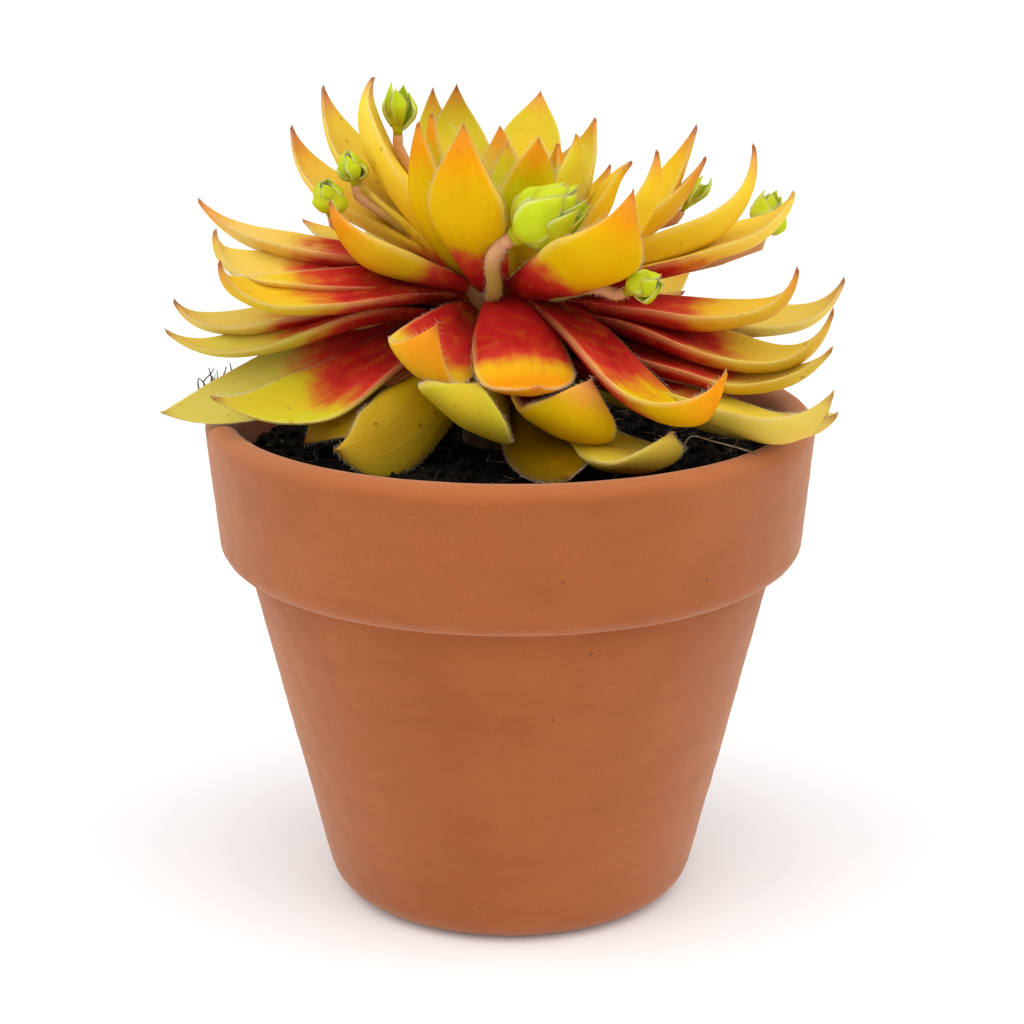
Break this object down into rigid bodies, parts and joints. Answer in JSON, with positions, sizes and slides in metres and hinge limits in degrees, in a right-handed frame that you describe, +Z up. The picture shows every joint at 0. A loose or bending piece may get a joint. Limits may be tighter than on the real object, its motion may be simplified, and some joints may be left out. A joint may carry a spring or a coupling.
{
  "type": "potted houseleek",
  "caption": "Potted houseleek: a fleshy rosette of pointed leaves with small green offsets on stolons, growing in dark soil in a round terracotta pot with a banded rim.",
  "frame": {"origin": "on the pot's axis, at the level the pot stands on", "axes": "+Z up along the pot's axis, -Y towards the front that the picture shows, +X to the right seen from there"},
  "size_m": [0.111, 0.1, 0.1353],
  "materials": {
    "terracotta": "matt unglazed fired clay with a fine pitted grain",
    "soil": "dark crumbly potting compost",
    "stem": "short brown woody stem",
    "leaf": "waxy fleshy leaves, yellow to red with brown tips and pale hairs along the edges",
    "offset": "waxy fleshy young leaves, fresh green"
  },
  "bodies": {
    "root": {"pot": "terracotta", "soil": "soil", "stem": "stem", "rosette": "leaf", "offset_1": "offset", "offset_2": "offset", "offset_3": "offset", "offset_4": "offset", "offset_5": "offset", "offset_6": "offset", "offset_7": "offset"}
  },
  "joints": []
}
